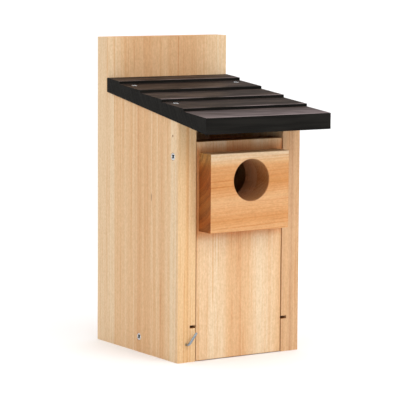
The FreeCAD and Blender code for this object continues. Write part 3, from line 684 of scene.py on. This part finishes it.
class NESTBOX_OT_screws(bpy.types.Operator):
    """Countersunk screws with a cross recess and a thread"""
    bl_idname = "nestbox.screws"
    bl_label = "Wood screws"

    def execute(self, context):
        s = context.scene.nestbox_screws
        zinc = zinc_steel("zinc-plated steel, screws", s.zinc, 0.24, 0.85, 3.0)
        for name, (body, axis, way) in SCREWS.items():
            vertices, faces, shades, count = [], [], [], 0
            for head, point in screw_ends(name, axis, way):
                spots, corners, shade = screw_surface(s, head, point)
                vertices.append(spots)
                faces.append(corners + count)
                shades.append(shade)
                count += len(spots)
            piece = surface("detail_" + name, np.concatenate(vertices), np.concatenate(faces), zinc,
                            body, name)
            # Painted shade of the recesses, kept on the points for the material.
            painted_recess_shade = piece.data.attributes.new("painted_recess_shade", "FLOAT", "POINT")
            painted_recess_shade.data.foreach_set("value", np.concatenate(shades).astype(np.float32))
        return {"FINISHED"}


# Hook

class HookSettings(bpy.types.PropertyGroup):
    wire: FloatProperty(name="Wire", description="Wire diameter", default=2.4 * MM,
                        unit="LENGTH", subtype="DISTANCE")
    shank: FloatProperty(name="Shank", description="Length inside the panel", default=26.0 * MM,
                         unit="LENGTH", subtype="DISTANCE")
    reach: FloatProperty(name="Reach", description="Arm's middle in front of the panel",
                         default=4.5 * MM, unit="LENGTH", subtype="DISTANCE")
    arm: FloatProperty(name="Arm", description="Shank's middle to the tip", default=14.4 * MM,
                       unit="LENGTH", subtype="DISTANCE")
    bend: FloatProperty(name="Bend", description="Radius of the bend", default=2.6 * MM,
                        unit="LENGTH", subtype="DISTANCE")
    raised: FloatProperty(name="Raised", description="Arm above level when released",
                          default=math.radians(52), unit="ROTATION", subtype="ANGLE")
    zinc: FloatVectorProperty(name="Zinc", description="Plating colour", subtype="COLOR", size=3,
                              default=linear("#A6B0B9"))


class NESTBOX_OT_hook(bpy.types.Operator):
    """L-shaped screw hook that holds the door shut"""
    bl_idname = "nestbox.hook"
    bl_label = "Hook"

    def execute(self, context):
        s = context.scene.nestbox_hook
        turn = next(joint for joint in frame["joints"] if joint["child"] == "hook")
        vertices, faces = self.bar(s)
        lift = Matrix.Rotation(s.raised, 3, Vector((0, -1, 0)))
        vertices = vertices @ np.array(lift).T + np.array(turn["pos_m"])
        steel = zinc_steel("zinc-plated steel, hook", s.zinc, 0.2, 0.7, 2.0)
        surface("detail_latch_hook", vertices, faces, steel, "hook", "latch_hook")
        return {"FINISHED"}

    def bar(self, s):
        """Round wire along straight, quarter circle and straight, from the shank's point to the
        arm's tip. Its radius follows a helical ridge on the shank, as the fourth power of a cosine
        of turn minus distance over pitch, shrinks in a line to the point and in a quarter circle at
        the tip."""
        eased, point_length, pitch = 0.5 * MM, 5 * MM, 1.1 * MM
        r = s.wire / 2
        core = 0.74 * r
        back = np.linspace(s.shank, 0.5 * MM, 150)
        shank = np.stack([0 * back, back, 0 * back], 1)
        front = np.linspace(0, s.bend - s.reach, 6)
        stub = np.stack([0 * front, front, 0 * front], 1)
        a = np.linspace(math.pi, 1.5 * math.pi, 14)[1:]
        corner = np.stack([s.bend + s.bend * np.cos(a),
                           s.bend - s.reach + s.bend * np.sin(a), 0 * a], 1)
        out = np.linspace(s.bend, s.arm - eased, 16)[1:]
        arm = np.stack([out, 0 * out - s.reach, 0 * out], 1)
        q = np.linspace(0, math.pi / 2, 7)[1:]
        tip = np.stack([s.arm - eased + eased * np.sin(q), 0 * q - s.reach, 0 * q], 1)
        path = np.concatenate([shank, stub, corner, arm, tip])
        sides = 32
        turn = np.linspace(0, 2 * math.pi, sides, endpoint=False)
        radius = np.full((len(path), sides), r)
        ridge = ((1 + np.cos(turn[None, :] - 2 * math.pi * back[:, None] / pitch)) / 2) ** 4
        radius[:len(back)] = core + (r - core) * ridge
        radius[:len(back)] *= np.clip((s.shank - back) / point_length, 0.01, 1)[:, None]
        radius[-len(q):] = (r - eased + eased * np.cos(q))[:, None]
        ahead = np.gradient(path, axis=0)
        ahead /= np.linalg.norm(ahead, axis=1)[:, None]
        up = np.array([0.0, 0.0, 1.0])
        side = np.cross(ahead, up)
        spots = (path[:, None] + radius[..., None] * (
            side[:, None] * np.cos(turn)[None, :, None] + up * np.sin(turn)[None, :, None]))
        vertices = np.concatenate([spots.reshape(-1, 3), path[:1], path[-1:]])
        # The rings turn left-handed about the way along the wire, so the faces are turned round.
        return vertices, tube_faces(len(path), sides)[:, ::-1]


# Mesh

class MeshSettings(bpy.types.PropertyGroup):
    wire: FloatProperty(name="Wire", description="Wire diameter", default=1.2 * MM,
                        unit="LENGTH", subtype="DISTANCE")
    pitch: FloatProperty(name="Pitch", description="Wire to wire", default=12.7 * MM,
                         unit="LENGTH", subtype="DISTANCE")
    zinc: FloatVectorProperty(name="Zinc", description="Galvanising colour", subtype="COLOR",
                              size=3, default=linear("#A9AEB1"))


class NESTBOX_OT_mesh(bpy.types.Operator):
    """Woven galvanised mesh that lies in the side panels' grooves"""
    bl_idname = "nestbox.mesh"
    bl_label = "Raised mesh"

    def execute(self, context):
        s = context.scene.nestbox_mesh
        low, high = (np.array(corner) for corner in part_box("mesh_floor"))
        vertices, faces, count = [], [], 0
        for along, across, sign in ((0, 1, 1), (1, 0, -1)):
            room = high[across] - low[across] - s.wire
            gaps = round(room / s.pitch)
            for i in range(gaps + 1):
                spots, corners = self.wire(s, low, high, along, across, i, gaps, sign * (-1) ** i)
                vertices.append(spots)
                faces.append(corners + count)
                count += len(spots)
        galvanised = zinc_steel("galvanised steel mesh", s.zinc, 0.45, 0.72, 4.0)
        surface("detail_mesh_floor", np.concatenate(vertices), np.concatenate(faces), galvanised,
                "box", "mesh_floor")
        return {"FINISHED"}

    def wire(self, s, low, high, along, across, index, gaps, sign):
        """Crimped wire: its height is a cosine of the distance along it, up at one crossing and
        down at the next, so that it weaves over and under the wires the other way."""
        first, room = low + s.wire / 2, high - low - s.wire
        crossings = round(room[along] / s.pitch)
        pitch = room[along] / crossings
        steps = crossings * 8 + 1
        t = np.linspace(low[along], high[along], steps)
        wave = np.cos(math.pi * (t - first[along]) / pitch)
        path = np.zeros((steps, 3))
        path[:, along] = t
        path[:, across] = first[across] + room[across] * index / gaps
        path[:, 2] = (low[2] + high[2]) / 2 + sign * room[2] / 2 * wave
        sides = 10
        turn = np.linspace(0, 2 * math.pi, sides, endpoint=False)
        flat, up = np.zeros(3), np.array([0.0, 0.0, 1.0])
        flat[across] = 1.0
        ring = flat * np.cos(turn)[:, None] + up * np.sin(turn)[:, None]
        spots = path[:, None] + ring[None] * s.wire / 2
        vertices = np.concatenate([spots.reshape(-1, 3), path[:1], path[-1:]])
        faces = tube_faces(steps, sides)
        # The rings turn left-handed about Y, so the faces of the wires along it are turned round.
        return vertices, faces[:, ::-1] if along == 1 else faces


# Stage

class StageSettings(bpy.types.PropertyGroup):
    floor_colour: FloatVectorProperty(name="Floor", description="Pale floor", subtype="COLOR",
                                      size=3, default=(0.9, 0.9, 0.9))
    aim: FloatVectorProperty(name="Aim", description="What the camera looks at", size=3,
                             subtype="TRANSLATION", unit="LENGTH", default=(-0.01245, 0.0, 0.14823))
    azimuth: FloatProperty(name="Azimuth", description="Camera to the left of the front",
                           subtype="ANGLE", unit="ROTATION", default=math.radians(32.926))
    elevation: FloatProperty(name="Elevation", description="Camera above level",
                             subtype="ANGLE", unit="ROTATION", default=math.radians(6.717))
    roll: FloatProperty(name="Roll", description="Camera's lean",
                        subtype="ANGLE", unit="ROTATION", default=math.radians(0.364))
    distance: FloatProperty(name="Distance", description="Camera to aim", default=2.0587,
                            unit="LENGTH", subtype="DISTANCE")
    lens: FloatProperty(name="Lens", description="Focal length in millimetres", default=189.406,
                        unit="CAMERA")
    key_azimuth: FloatProperty(name="Key azimuth", description="Softbox to the right of the front",
                               subtype="ANGLE", unit="ROTATION", default=math.radians(15))
    key_elevation: FloatProperty(name="Key elevation", description="Softbox above level",
                                 subtype="ANGLE", unit="ROTATION", default=math.radians(30))
    key_distance: FloatProperty(name="Key distance", description="Softbox to the box's middle",
                                default=1.8, unit="LENGTH", subtype="DISTANCE")
    key_size: FloatProperty(name="Key size", description="Softbox, edge to edge", default=1.0,
                            unit="LENGTH", subtype="DISTANCE")
    key_power: FloatProperty(name="Key power", description="Softbox, in watts", default=10.2,
                             unit="POWER")


class NESTBOX_OT_stage(bpy.types.Operator):
    """Pale floor, soft studio light and the camera"""
    bl_idname = "nestbox.stage"
    bl_label = "Stage"

    def execute(self, context):
        s = context.scene.nestbox_stage
        scene = context.scene
        scene.view_settings.view_transform = "Standard"
        material, _, shader = new_material("pale studio floor")
        shader.inputs["Base Color"].default_value = rgba(s.floor_colour)
        shader.inputs["Roughness"].default_value = 0.9
        # Wide enough that its far edge is at the horizon.
        half = 60.0
        mesh = bpy.data.meshes.new("studio_floor")
        corners = [(-half, -half, 0), (half, -half, 0), (half, half, 0), (-half, half, 0)]
        mesh.from_pydata(corners, [], [(0, 1, 2, 3)])
        mesh.materials.append(material)
        floor = bpy.data.objects.new("studio_floor", mesh)
        scene.collection.objects.link(floor)

        scene.world = self.room()
        self.key_light(scene, s)

        camera = bpy.data.objects.new("camera", bpy.data.cameras.new("camera"))
        scene.collection.objects.link(camera)
        camera.data.lens = s.lens
        camera.data.sensor_width = 36.0
        ahead = Vector((math.sin(s.azimuth) * math.cos(s.elevation),
                        math.cos(s.azimuth) * math.cos(s.elevation), -math.sin(s.elevation)))
        right = Vector((math.cos(s.azimuth), -math.sin(s.azimuth), 0))
        up = right.cross(ahead)
        leaned_right = right * math.cos(s.roll) + up * math.sin(s.roll)
        leaned_up = up * math.cos(s.roll) - right * math.sin(s.roll)
        turn = Matrix((leaned_right, leaned_up, -ahead)).transposed()
        camera.matrix_world = Matrix.Translation(Vector(s.aim) - ahead * s.distance) @ turn.to_4x4()
        camera.data.clip_start, camera.data.clip_end = 0.05, 200.0
        scene.camera = camera
        return {"FINISHED"}

    def room(self):
        """White room that is brightest overhead, with dim warm walls above a white skirting.
        Heights are the sine of the angle above level."""
        walls, ceiling, skirting = (0.33, 0.26, 0.21), (1.6, 1.62, 1.65), (1.02, 1.02, 1.02)
        world = bpy.data.worlds.new("studio")
        world.use_nodes = True
        tree = world.node_tree
        tree.nodes.clear()
        way = node(tree, "ShaderNodeTexCoord")
        split = node(tree, "ShaderNodeSeparateXYZ", {0: way.outputs["Generated"]})
        overhead = spread(tree, split.outputs[2], 0.25, 0.8, smooth=True)
        light = mixed(tree, overhead, rgba(walls), rgba(ceiling))
        low = spread(tree, split.outputs[2], 0.09, 0.15, 1.0, 0.0, smooth=True)
        light = mixed(tree, low, light, rgba(skirting))
        shade = node(tree, "ShaderNodeBackground", {"Color": light, "Strength": 1.0})
        node(tree, "ShaderNodeOutputWorld", {0: shade})
        return world

    def key_light(self, scene, s):
        """Square softbox that faces the nest box's middle."""
        light = bpy.data.lights.new("key_softbox", "AREA")
        light.shape = "SQUARE"
        light.size = s.key_size
        light.energy = s.key_power
        lamp = bpy.data.objects.new("key_softbox", light)
        scene.collection.objects.link(lamp)
        middle = Vector((0, 0, 0.15))
        back = Vector((math.sin(s.key_azimuth) * math.cos(s.key_elevation),
                       -math.cos(s.key_azimuth) * math.cos(s.key_elevation),
                       math.sin(s.key_elevation)))
        lamp.location = middle + back * s.key_distance
        lamp.rotation_euler = back.to_track_quat("Z", "Y").to_euler()


class NESTBOX_PT_panel(bpy.types.Panel):
    bl_idname = "NESTBOX_PT_panel"
    bl_label = "Cedar Nest Box"
    bl_space_type = "VIEW_3D"
    bl_region_type = "UI"
    bl_category = "Nest Box"

    def draw(self, context):
        for operator in OPERATORS:
            self.layout.operator(operator.bl_idname)


SETTINGS = {
    "nestbox_boards": BoardSettings,
    "nestbox_roof": RoofSettings,
    "nestbox_screws": ScrewSettings,
    "nestbox_hook": HookSettings,
    "nestbox_mesh": MeshSettings,
    "nestbox_stage": StageSettings,
}
OPERATORS = (NESTBOX_OT_boards, NESTBOX_OT_roof, NESTBOX_OT_screws, NESTBOX_OT_hook,
             NESTBOX_OT_mesh, NESTBOX_OT_stage)


def register():
    for kind in (*SETTINGS.values(), *OPERATORS, NESTBOX_PT_panel):
        bpy.utils.register_class(kind)
    for name, kind in SETTINGS.items():
        setattr(bpy.types.Scene, name, PointerProperty(type=kind))


def unregister():
    for name in SETTINGS:
        delattr(bpy.types.Scene, name)
    for kind in (NESTBOX_PT_panel, *OPERATORS, *SETTINGS.values()):
        bpy.utils.unregister_class(kind)


def main():
    register()
    for operator in OPERATORS:
        group, name = operator.bl_idname.split(".")
        getattr(getattr(bpy.ops, group), name)()


if __name__ == "__main__":
    main()
